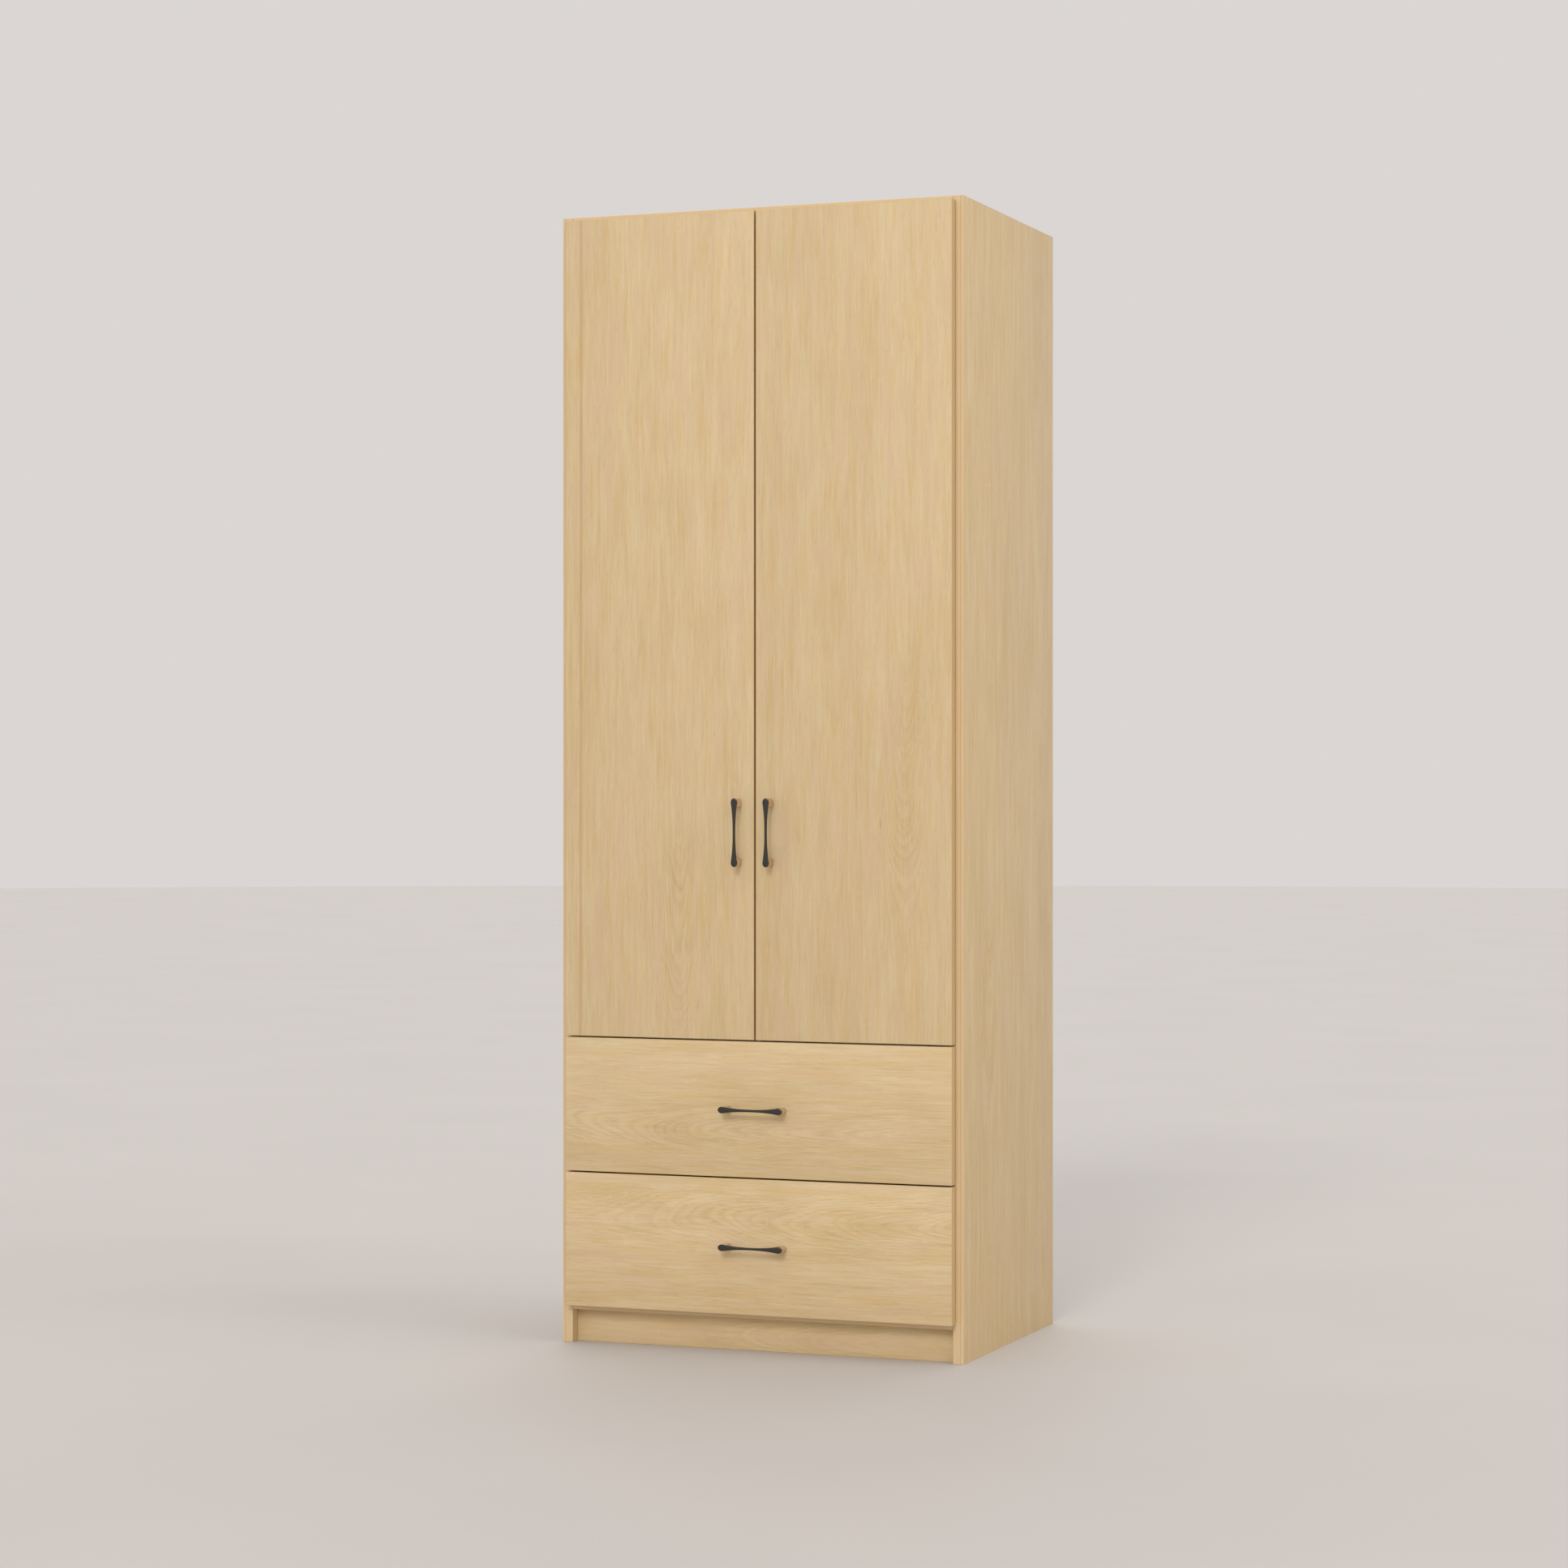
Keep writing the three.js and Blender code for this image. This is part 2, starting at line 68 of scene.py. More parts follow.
def colour(r, g, b):
    """A display colour as the linear one that a shader takes."""

    def linear(c):
        c = c / 255
        return c / 12.92 if c <= 0.04045 else ((c + 0.055) / 1.055) ** 2.4

    return (linear(r), linear(g), linear(b), 1.0)


# ------------------------------------------------------------------ shader maths


class Value:
    """A node's output that takes arithmetic: each operation adds one Math node."""

    def __init__(self, shader, socket):
        self.shader = shader
        self.socket = socket

    def maths(self, operation, *others):
        return self.shader.node("ShaderNodeMath", {"operation": operation}, self, *others)

    def __add__(self, other):
        return self.maths("ADD", other)

    __radd__ = __add__

    def __sub__(self, other):
        return self.maths("SUBTRACT", other)

    def __rsub__(self, other):
        return self.shader.node("ShaderNodeMath", {"operation": "SUBTRACT"}, other, self)

    def __mul__(self, other):
        return self.maths("MULTIPLY", other)

    __rmul__ = __mul__

    def __truediv__(self, other):
        return self.maths("DIVIDE", other)

    def __pow__(self, other):
        return self.maths("POWER", other)

    def root(self):
        return self.maths("SQRT")

    def fraction(self):
        return self.maths("FRACT")

    def size(self):
        return self.maths("ABSOLUTE")

    def fade(self, low, high):
        """0 below low, 1 above high, smooth between."""
        settings = {"interpolation_type": "SMOOTHSTEP"}
        sockets = {"From Min": low, "From Max": high, "To Min": 0.0, "To Max": 1.0}
        return self.shader.node("ShaderNodeMapRange", settings, self, **sockets)


class Shader:
    """A material whose nodes are added by one method."""

    def __init__(self, name, **surface):
        self.material = bpy.data.materials.new(name)
        self.material.use_nodes = True
        self.nodes = self.material.node_tree.nodes
        self.links = self.material.node_tree.links
        self.surface = self.nodes["Principled BSDF"]
        self.feed(self.surface, surface)

    def feed(self, node, sockets):
        """Links or sets a node's inputs, each by its index or by its name with _ for a space."""
        for name, value in sockets.items():
            socket = node.inputs[name.replace("_", " ") if isinstance(name, str) else name]
            if isinstance(value, Value):
                self.links.new(value.socket, socket)
            elif value is not None:
                socket.default_value = value

    def node(self, kind, settings=None, *values, output=0, **sockets):
        """Adds a node: its settings first, then its inputs, in order or by name."""
        node = self.nodes.new(kind)
        for name, value in (settings or {}).items():
            setattr(node, name, value)
        self.feed(node, dict(enumerate(values)))
        self.feed(node, sockets)
        return Value(self, node.outputs[output])

    def places(self):
        """The place of each point, in metres."""
        return self.node("ShaderNodeTexCoord", output="Object")

    def along_axes(self, vector):
        """The three numbers of a vector."""
        split = self.node("ShaderNodeSeparateXYZ", None, vector).socket.node
        return [Value(self, output) for output in split.outputs]

    def noise(self, waves, shift=(0, 0, 0), detail=2.0, roughness=0.5, at=None):
        """Noise with its own count of waves to the metre along each axis."""
        place = self.node("ShaderNodeMapping", None, at or self.places(), Scale=waves, Location=shift)
        sockets = {"Scale": 1.0, "Detail": detail, "Roughness": roughness}
        return self.node("ShaderNodeTexNoise", None, place, **sockets)

    def blend(self, share, first, second):
        """A mix of two colours. In this node the colours are inputs 6 and 7, and output 2."""
        node = self.nodes.new("ShaderNodeMix")
        node.data_type = "RGBA"
        self.feed(node, {0: share, 6: first, 7: second})
        return Value(self, node.outputs[2])

    def bump(self, height, distance, strength=1.0):
        return self.node("ShaderNodeBump", None, Height=height, Distance=distance, Strength=strength)

    def paint(self, **sockets):
        """Feeds the surface, and gives back the finished material."""
        self.feed(self.surface, sockets)
        return self.material


# ------------------------------------------------------------------ materials

OAK_PALE = colour(228, 206, 165)
OAK_DEEP = colour(199, 171, 122)
OAK_GOLDEN = colour(215, 182, 118)
OAK_ROSY = colour(219, 190, 159)
OAK_PORE = colour(166, 130, 82)
OAK_RAY = colour(233, 212, 176)
OAK_BANDING = colour(230, 203, 161)
# A darker golden tone laid over the fronts' left and right edges: painted shade, for the shade that
# those side faces lie in beside the carcass.
OAK_EDGE_PAINTED_SHADE = colour(196, 158, 104)
OAK_LINE = colour(188, 142, 82)
RING_WIDTH = 3.2 * MM
HEART_INNER = 15 * MM  # the figure is at its fullest this near the heart's line
HEART_OUTER = 85 * MM  # and has gone this far from it
LOG_TAPER = 0.1  # how fast the log's middle falls away under the face
LOG_DEPTH = 45 * MM
MARK_WIDTH = 2.4 * MM
MARK_LENGTH = 17 * MM
MIDDLE_TONE = 0.58  # from the deep tone at 0 to the pale one at 1


def oak(
    name,
    grain="z",
    across="x",
    seed=0,
    heart=(0, 1),
    extent=0.3,
    contrast=1.0,
    tint=None,
    marks=(),
    line=None,
):
    """Oak laminate, straight in the grain but for one stretch that is sawn flat through the heart.

    The heart is [across, along], and extent is how far along the board its figure reaches. There
    the growth rings are cones about the log's middle, which passes just under the face, so they
    show as nested arches. Marks are short darker flecks, each [across, along, strength]. Line is
    the place across and the half width of one golden line that runs the whole length. Tint is
    [share, colour] of a tone mixed in over all.

    In streaks and noise the counts are waves to the metre, first across the grain, then along it.
    """
    shader = Shader(name)
    axes = "xyz"
    shift = (3.1 * seed + 0.37, 1.7 * seed + 0.11, 2.3 * seed + 0.53)
    place = shader.along_axes(shader.places())
    sideways = place[axes.index(across)]
    lengthways = place[axes.index(grain)]
    through = place[3 - axes.index(across) - axes.index(grain)]

    def slow(step, along=1.6, waves=4.0):
        """A slow wander either side of 0, for lines that aren't quite straight."""
        counts = [along if axis == grain else waves for axis in axes]
        return shader.noise(counts, [s + step for s in shift], detail=2.0) - 0.5

    def streaks(at, waves, along, detail=2.0, roughness=0.5, step=0.0):
        """Streaks from 0 to 1, drawn out along the grain."""
        moved = [s + step for s in shift]
        return shader.noise((waves, waves * 0.3, along), moved, detail, roughness, at)

    heart_across, heart_along = heart
    from_heart = sideways - heart_across + slow(0.0) * 0.04
    from_middle = lengthways - heart_along
    under = from_middle * LOG_TAPER + slow(7.7, 2.6, 6.0) * 0.05 - LOG_DEPTH
    ring_radius = (from_heart ** 2 + under ** 2).root()
    arched = shader.node("ShaderNodeCombineXYZ", None, ring_radius, through, lengthways)
    bent = sideways + slow(3.6, 2.2, 5.0) * 0.012 + slow(5.8, 9.0, 26.0) * 0.006
    straight = shader.node("ShaderNodeCombineXYZ", None, bent, through, lengthways)
    near_heart = 1 - from_heart.size().fade(HEART_INNER, HEART_OUTER)
    heartwood = near_heart * (1 - from_middle.size().fade(extent * 0.3, extent))

    broad = streaks(straight, 13.0, 1.6, step=6.1) - 0.5
    cloudy = streaks(straight, 30.0, 8.0, detail=3.0, step=8.3) - 0.5
    medium = streaks(straight, 85.0, 4.6, detail=3.0, roughness=0.6) - 0.5
    curved = streaks(arched, 120.0, 6.0, detail=3.0, roughness=0.65) - 0.5
    fine = streaks(straight, 330.0, 15.0, detail=3.0, roughness=0.65) - 0.5
    year = (ring_radius / RING_WIDTH + curved * 1.8 + fine * 0.8).fraction()
    early_wood = (1 - year.fade(0.05, 0.7)) * year.fade(0.0, 0.05)
    pores = streaks(straight, 620.0, 48.0, detail=1.0).fade(0.57, 0.7)

    arches = (curved * 0.6 - early_wood * 0.13) * heartwood
    figure = broad * 0.3 + cloudy * 0.3 + medium * (1 - heartwood * 0.7) * 0.45 + fine * 0.6 + arches
    lightness = figure * contrast + MIDDLE_TONE
    wood = shader.blend(lightness.fade(0.0, 1.0), OAK_DEEP, OAK_PALE)
    golden = streaks(straight, 100.0, 7.0, detail=3.0, step=5.1).fade(0.46, 0.7)
    rosy = streaks(straight, 45.0, 6.0, detail=3.0, step=9.4).fade(0.46, 0.7)
    wood = shader.blend(golden * 0.36, wood, OAK_GOLDEN)
    wood = shader.blend(rosy * 0.4, wood, OAK_ROSY)
    wood = shader.blend(pores * (0.1 + early_wood * heartwood * 0.08) * contrast, wood, OAK_PORE)
    rays = streaks(arched, 150.0, 60.0, detail=1.0, step=2.2).fade(0.7, 0.78)
    wood = shader.blend(rays * 0.2, wood, OAK_RAY)
    if tint:
        share, tone = tint
        wood = shader.blend(share, wood, tone)

    wobble = fine * 0.004 + medium * 0.006
    for mark_across, mark_along, strength in marks:
        offset = ((sideways - mark_across + wobble) / MARK_WIDTH) ** 2
        reach = (offset + ((lengthways - mark_along) / MARK_LENGTH) ** 2).root()
        wood = shader.blend((1 - reach.fade(0.1, 1.0)) * strength, wood, OAK_PORE)
    if line:
        line_across, half_width = line
        offset = (sideways - line_across + slow(4.2) * half_width).size()
        thread = (1 - offset.fade(0.1 * half_width, half_width)) * (0.6 + medium * 1.2)
        wood = shader.blend(thread * 0.6, wood, OAK_LINE)
    height = fine * 0.5 + medium * 0.3 - pores * 0.5
    return shader.paint(
        Base_Color=wood,
        Roughness=0.5 + fine * 0.25 + pores * 0.1,
        Normal=shader.bump(height, 0.12 * MM, 0.5),
        Specular_IOR_Level=0.35,
    )


FIBRE_LIGHT = colour(203, 172, 132)
FIBRE_DARK = colour(176, 142, 102)
FIBRE_CLOUD = colour(160, 122, 82)
FIBRE_SPECK = colour(112, 80, 52)


def hardboard():
    """Brown pressed fibre, with long faint hairs in it."""
    shader = Shader("hardboard")
    fibre = shader.noise((500, 500, 160), detail=4.0, roughness=0.7)
    cloud = shader.noise((9, 9, 6), detail=3.0)
    speck = shader.noise((1400, 1400, 1400), detail=0.0).fade(0.66, 0.74)
    board = shader.blend(fibre.fade(0.25, 0.75), FIBRE_DARK, FIBRE_LIGHT)
    board = shader.blend(cloud.fade(0.3, 0.8) * 0.35, board, FIBRE_CLOUD)
    board = shader.blend(speck * 0.5, board, FIBRE_SPECK)
    height = fibre + speck * 0.4
    return shader.paint(
        Base_Color=board,
        Roughness=0.62 + fibre * 0.2,
        Normal=shader.bump(height, 0.1 * MM, 0.6),
    )


def plated(name, tint, roughness, mottle=0.08, brushed=(60, 60, 60), coat=0.0):
    """Plated metal with fine rolling or polishing lines, and lacquer over it where coat is above 0."""
    shader = Shader(name, Metallic=1.0, Coat_Weight=coat, Coat_Roughness=0.08)
    lines = shader.noise(brushed, detail=3.0, roughness=0.7)
    cloud = shader.noise((40, 40, 40), detail=2.0)
    darker = tuple(c * 0.82 for c in tint[:3]) + (1.0,)
    face = shader.blend(lines.fade(0.3, 0.7) * 0.6 + cloud * 0.3, darker, tint)
    return shader.paint(
        Base_Color=face,
        Roughness=roughness + (lines - 0.5) * mottle + (cloud - 0.5) * mottle,
        Normal=shader.bump(lines, 0.01 * MM, 0.4),
    )


def plastic(name, tint, roughness=0.4):
    """Moulded plastic with a faint grain."""
    shader = Shader(name)
    grain = shader.noise((900, 900, 900), detail=1.0)
    cloud = shader.noise((60, 60, 60), detail=2.0)
    darker = tuple(c * 0.9 for c in tint[:3]) + (1.0,)
    face = shader.blend(cloud.fade(0.3, 0.7), darker, tint)
    return shader.paint(
        Base_Color=face,
        Roughness=roughness + (grain - 0.5) * 0.2,
        Normal=shader.bump(grain, 0.02 * MM, 0.5),
    )


WOODS = {
    "side_panel_left": oak("oak_side_left", across="y", seed=11, heart=(0.05, 1.5), contrast=1.1),
    "side_panel_right": oak("oak_side_right", across="y", seed=4, heart=(-0.1, 0.6), contrast=1.1),
    "door_left": oak(
        "oak_door_left",
        seed=1,
        heart=(-0.154, 0.74),
        marks=[(-0.108, 0.615, 0.3)],
        line=(-0.3366, 0.0045),
    ),
    "door_right": oak("oak_door_right", seed=7, heart=(0.277, 0.98), marks=[(0.235, 0.94, 0.4)]),
    "drawer_upper": oak(
        "oak_drawer_upper",
        "x",
        "z",
        seed=3,
        heart=(0.4, -0.2),
        extent=0.9,
        contrast=1.25,
    ),
    "drawer_lower": oak(
        "oak_drawer_lower",
        "x",
        "z",
        seed=9,
        heart=(0.24, 0.1),
        extent=0.7,
        contrast=1.25,
    ),
    "level_board": oak("oak_level_board", "x", "y", seed=5, heart=(0.1, 0.0)),
    "toe_kick": oak("oak_toe_kick", "x", "z", seed=6, heart=(0.03, 0.1)),
    "drawer_side": oak("oak_drawer_side", "y", "z", seed=2, heart=(0.2, 0.0), contrast=0.7),
    "drawer_end": oak("oak_drawer_end", "x", "z", seed=8, heart=(0.2, 0.0), contrast=0.7),
}


def banding(name, grain, across, seed, tint=(0.4, OAK_BANDING), line=None):
    """Oak edge banding: calm, and with its heart far outside the strip, so straight all along."""
    return oak(name, grain, across, seed, heart=(-2, 0), contrast=0.7, tint=tint, line=line)


BANDING = {
    "x": banding("oak_banding_level", "x", "z", 12),
    "y": banding("oak_banding_drawer", "y", "x", 13),
    "z": banding("oak_banding_upright", "z", "x", 14),
}
# Banding for the left and right edges of the doors and drawer fronts, darkened with painted shade.
FRONT_SIDE_BANDING_PAINTED_SHADE = banding("oak_banding_front_sides_painted_shade", "z", "y", 15, tint=(0.55, OAK_EDGE_PAINTED_SHADE))
PANEL_EDGE = {
    side: banding(f"oak_banding_{side}", "z", "x", 16, line=(sign * 0.3762, 0.0015))
    for side, sign in SIDES.items()
}
HARDBOARD = hardboard()
STEEL = plated("nickel_plated_steel", colour(205, 206, 208), 0.27)
SLIDE_STEEL = plated("zinc_plated_steel", colour(190, 194, 200), 0.34, brushed=(40, 3, 400))
CHROME = plated("chrome_tube", colour(226, 227, 230), 0.1, mottle=0.05, brushed=(4, 300, 300))
# The bar's dark tint is a painted reflection. It stands in for the unlit room that the bar's polished
# face mirrors.
BAR_METAL_PAINTED_DARK_REFLECTION = plated(
    "handle_bar_painted_dark_reflection", colour(70, 68, 64), 0.14, mottle=0.1, brushed=(500, 500, 500), coat=0.6
)
POST_METAL = plated(
    "bright_handle_post", colour(224, 206, 188), 0.12, mottle=0.06, brushed=(500, 60, 500)
)
CAM_METAL = plated("zinc_cam", colour(176, 178, 182), 0.42, mottle=0.15, brushed=(300, 300, 300))
NAIL_METAL = plated("nail_heads", colour(150, 146, 140), 0.45, mottle=0.2, brushed=(300, 300, 300))
CLEAR_PAD = plastic("bumper_pad", colour(214, 214, 208), 0.3)
BLACK_PLASTIC = plastic("black_lever", colour(44, 44, 46), 0.4)

# ------------------------------------------------------------------ modelling helpers


def deselect():
    for obj in list(bpy.context.selected_objects):
        obj.select_set(False)


def activate(*objects):
    deselect()
    for obj in objects:
        obj.select_set(True)
    bpy.context.view_layer.objects.active = objects[0]


def settle(obj, name):
    """Names a new object and puts its place into its mesh."""
    activate(obj)
    bpy.ops.object.transform_apply(location=True, rotation=True, scale=True)
    obj.name = name
    obj.data.name = name
    return obj


def cuboid(name, low, high):
    centre = [(a + b) / 2 for a, b in zip(low, high)]
    size = [b - a for a, b in zip(low, high)]
    deselect()
    bpy.ops.mesh.primitive_cube_add(size=1, location=centre, scale=size)
    return settle(bpy.context.object, name)


def drum(name, centre, radius, length, sides=32, axis="z"):
    """A cylinder along one axis."""
    turn = {"z": (0, 0, 0), "y": (math.pi / 2, 0, 0), "x": (0, math.pi / 2, 0)}[axis]
    deselect()
    bpy.ops.mesh.primitive_cylinder_add(
        vertices=sides, radius=radius, depth=length, location=centre, rotation=turn
    )
    return settle(bpy.context.object, name)


def edit(obj, kind="EDGE"):
    """Enters edit mode on one object, with nothing in it selected."""
    activate(obj)
    bpy.ops.object.mode_set(mode="EDIT")
    bpy.ops.mesh.select_mode(type=kind)
    bpy.ops.mesh.select_all(action="DESELECT")


def leave_edit():
    bpy.ops.object.mode_set(mode="OBJECT")


def pick(obj, kind, test):
    """In edit mode, selects only the edges or faces that pass a test."""
    bpy.ops.mesh.select_all(action="DESELECT")
    mesh = bmesh.from_edit_mesh(obj.data)
    for item in getattr(mesh, kind):
        item.select_set(test(item))
    mesh.select_flush_mode()
    bmesh.update_edit_mesh(obj.data)


def modify(obj, kind, **settings):
    """Adds a modifier and applies it."""
    activate(obj)
    modifier = obj.modifiers.new(kind.lower(), kind)
    for name, value in settings.items():
        setattr(modifier, name, value)
    bpy.ops.object.modifier_apply(modifier=modifier.name)
    return obj


def shade(obj, angle=40):
    """Smooth over edges that turn less than an angle, sharp at the others."""
    activate(obj)
    bpy.ops.object.shade_smooth_by_angle(angle=math.radians(angle))
    return obj


def soften(obj, width, segments=2, angle=30):
    """Rounds every edge that turns more than an angle."""
    modify(
        obj,
        "BEVEL",
        width=width,
        segments=segments,
        limit_method="ANGLE",
        angle_limit=math.radians(angle),
        harden_normals=False,
    )
    return shade(obj)


def cut(obj, *tools):
    """Takes the tools' shapes out of the object."""
    for tool in tools:
        modify(obj, "BOOLEAN", operation="DIFFERENCE", object=tool, solver="EXACT")
        bpy.data.objects.remove(tool)
    return obj


def joined(name, pieces):
    """Several objects as one."""
    activate(*pieces)
    if len(pieces) > 1:
        bpy.ops.object.join()
    return settle(bpy.context.view_layer.objects.active, name)


def fit(obj, material, body, slot, *nodes):
    """Gives a finished piece its material and its body, and hides the nodes that it stands for. Slot
    is not used.
    """
    obj.data.materials.clear()
    obj.data.materials.append(material)
    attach(obj, body)
    if nodes:
        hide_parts(*nodes)
    return obj


def refined(node, width, segments=2):
    """A welded copy of a frame node, with its flat faces whole and its edges softened."""
    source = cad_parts[node]
    obj = bpy.data.objects.new(f"{node}_fine", source.data.copy())
    bpy.context.scene.collection.objects.link(obj)
    edit(obj, "VERT")
    bpy.ops.mesh.select_all(action="SELECT")
    bpy.ops.mesh.remove_doubles(threshold=0.01 * MM)
    bpy.ops.mesh.dissolve_limited(angle_limit=math.radians(1))
    leave_edit()
    return soften(obj, width, segments)


def copied(template, place):
    """A copy of a template, with its own mesh, moved by a matrix."""
    copy = template.copy()
    copy.data = template.data.copy()
    bpy.context.scene.collection.objects.link(copy)
    copy.matrix_world = place
    return copy


def stamp(name, template, spots):
    """Copies of a template at several places, as one piece. A spot is a place and a direction."""
    copies = []
    for place, direction in spots:
        turn = Vector((0, 0, 1)).rotation_difference(Vector(direction)).to_matrix().to_4x4()
        copies.append(copied(template, Matrix.Translation(Vector(place)) @ turn))
    return joined(name, copies)


# ------------------------------------------------------------------ boards


def banded_board(
    name,
    low,
    high,
    bands,
    wood,
    body,
    nodes=(),
    slot="oak_board",
    shape=None,
    edge_woods=None,
):
    """A laminated board, and banding glued to the named sides, such as -y or +x, in that order.

    A later strip stops at the earlier ones. Shape cuts the bare board before its edges are
    softened. Edge_woods gives the wood of a side that doesn't have the plain banding.
    """
    edge_woods = edge_woods or {}
    inner = [list(low), list(high)]
    strips = []
    for band in bands:
        axis = "xyz".index(band[1])
        end = 0 if band[0] == "-" else 1
        strip = [list(corner) for corner in inner]
        covered = [
            other for other in range(3) if other != axis and strip[0][other] > low[other] + TINY
        ]
        face = (low, high)[end][axis]
        inward = 1 if end == 0 else -1
        strip[end][axis] = face
        strip[1 - end][axis] = face + inward * BAND
        inner[end][axis] = face + inward * (BAND + BAND_JOINT)
        strips.append((band, strip, axis, face, covered))
    board = cuboid(name, *inner)
    if shape:
        shape(board)
    soften(board, BOARD_ROUND, 2)
    fit(board, wood, body, slot, *nodes)
    for band, (strip_low, strip_high), axis, face, covered in strips:
        which_end = "low" if band[0] == "-" else "high"
        strip = cuboid(f"{name}_band_{which_end}_{band[1]}", strip_low, strip_high)
        round_outer_edges(strip, axis, face, covered)
        lengths = [b - a for a, b in zip(strip_low, strip_high)]
        plain = BANDING["xyz"[lengths.index(max(lengths))]]
        fit(strip, edge_woods.get(band, plain), body, slot)
    return board


def round_outer_edges(strip, axis, level, covered):
    """Rounds the edges of a strip's outer face, but not at ends that meet another strip."""

    def outer(edge):
        on_face = all(abs(vertex.co[axis] - level) < TINY for vertex in edge.verts)
        run = edge.verts[0].co - edge.verts[1].co
        crosses = [abs(run[other]) < TINY for other in covered]
        return on_face and not any(crosses)

    edit(strip)
    pick(strip, "edges", outer)
    bpy.ops.mesh.bevel(offset=BAND_ROUND, segments=4, affect="EDGES")
    leave_edit()
    shade(strip)


FRONT_BANDS = ["-x", "+x", "-z", "+z"]
# The fronts' side edges take the banding that carries painted shade.
FRONT_EDGES_PAINTED_SHADE = {"-x": FRONT_SIDE_BANDING_PAINTED_SHADE, "+x": FRONT_SIDE_BANDING_PAINTED_SHADE}


# ------------------------------------------------------------------ carcass


def side_panel(side):
    """A side panel, with the rebate that holds the back cut from its inner rear edge."""
    node = f"side_panel_{side}"
    low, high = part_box(node)
    back_low, back_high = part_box("back_panel")

    def rebate(board):
        inner_x = back_low[0] if side == "left" else back_high[0]
        opening = high[0] if side == "left" else low[0]
        ends = sorted([inner_x + SIDES[side] * CLEARANCE, opening - SIDES[side] * OVERSHOOT])
        tool_low = (ends[0], back_low[1] - CLEARANCE, low[2] - OVERSHOOT)
        tool_high = (ends[1], high[1] + OVERSHOOT, high[2] + OVERSHOOT)
        cut(board, cuboid("rebate_tool", tool_low, tool_high))

    wood = WOODS[node]
    edges = {"-y": PANEL_EDGE[side]}
    banded_board(
        node, low, high, ["-y", "+z"], wood, "carcass", [node], shape=rebate, edge_woods=edges
    )


def level_boards():
    """The boards between the side panels."""
    for node in ("top_panel", "hat_shelf", "fixed_shelf", "bottom_panel"):
        low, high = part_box(node)
        banded_board(node, low, high, ["-y"], WOODS["level_board"], "carcass", [node])
    for node in ("toe_kick", "rear_kick_board"):
        low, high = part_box(node)
        banded_board(node, low, high, ["-z"], WOODS["toe_kick"], "carcass", [node])


NAIL_RADIUS = 3 * MM
NAIL_RISE = 0.5 * MM
NAIL_INSET = 4 * MM
NAIL_STEP = 152 * MM
NAIL_END = 12 * MM
NAIL_COLUMNS = 5


def back_panel():
    """The hardboard back, nailed to the side panels and to three of the level boards."""
    low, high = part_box("back_panel")
    board = cuboid("back_panel", low, high)
    soften(board, 0.4 * MM, 2)
    fit(board, HARDBOARD, "carcass", "hardboard", "back_panel")

    nail = drum("nail_template", (0, 0, 0), NAIL_RADIUS, NAIL_RISE, 16)
    soften(nail, 0.2 * MM, 2)
    spots = []
    rows = int((high[2] - low[2]) / NAIL_STEP)
    for i in range(rows + 1):
        z = low[2] + NAIL_END + i * (high[2] - low[2] - 2 * NAIL_END) / rows
        spots += [((x, high[1], z), BACKWARD) for x in (low[0] + NAIL_INSET, high[0] - NAIL_INSET)]
    for node in ("top_panel", "fixed_shelf", "bottom_panel"):
        z = sum(corner[2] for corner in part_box(node)) / 2
        for i in range(1, NAIL_COLUMNS):
            x = low[0] + (high[0] - low[0]) * i / NAIL_COLUMNS
            spots.append(((x, high[1], z), BACKWARD))
    fit(stamp("back_panel_nails", nail, spots), NAIL_METAL, "carcass", "hinge_steel")
    bpy.data.objects.remove(nail)


def hanging_rod():
    """The rod and the two sockets that hold its ends."""
    fit(refined("hanging_rod", 0.2 * MM), CHROME, "carcass", "rod_chrome", "hanging_rod")
    for side in SIDES:
        node = f"rod_socket_{side}"
        fit(refined(node, 0.4 * MM, 3), CHROME, "carcass", "rod_chrome", node)


# ------------------------------------------------------------------ fasteners


def screw_template(name, radius, height, recess=0.55):
    """A pan-head screw's head, its foot at 0, with a cross recess."""
    head = drum(name, (0, 0, height / 2), radius, height, 28)
    edit(head)
    pick(head, "edges", lambda e: all(v.co.z > height * 0.9 for v in e.verts))
    bpy.ops.mesh.bevel(offset=height * 0.62, segments=4, affect="EDGES")
    leave_edit()
    long, wide = radius * recess, radius * 0.13
    deep = height * 0.45
    for size in ((long, wide), (wide, long)):
        low = (-size[0], -size[1], deep)
        high = (size[0], size[1], height * 2)
        cut(head, cuboid("recess_tool", low, high))
    return shade(head, 35)


def cam_template(name, radius):
    """A cam fitting's face, a shallow drum with a cross slot and an arrow-shaped nick."""
    rise = 0.5 * MM
    cam = drum(name, (0, 0, 0), radius, 2 * rise, 32)
    long, wide = radius * 0.62, radius * 0.13
    for size in ((long, wide), (wide, long)):
        cut(cam, cuboid("slot_tool", (-size[0], -size[1], 0), (size[0], size[1], 4 * rise)))
    nick_low = (radius * 0.78, -radius * 0.09, 0)
    cut(cam, cuboid("nick_tool", nick_low, (radius * 1.2, radius * 0.09, 4 * rise)))
    return soften(cam, 0.12 * MM, 2)


def ball_template(name, radius):
    """One ball of a slide."""
    deselect()
    bpy.ops.mesh.primitive_uv_sphere_add(segments=14, ring_count=9, radius=radius)
    ball = settle(bpy.context.object, name)
    bpy.ops.object.shade_smooth()
    return ball


# ------------------------------------------------------------------ handles

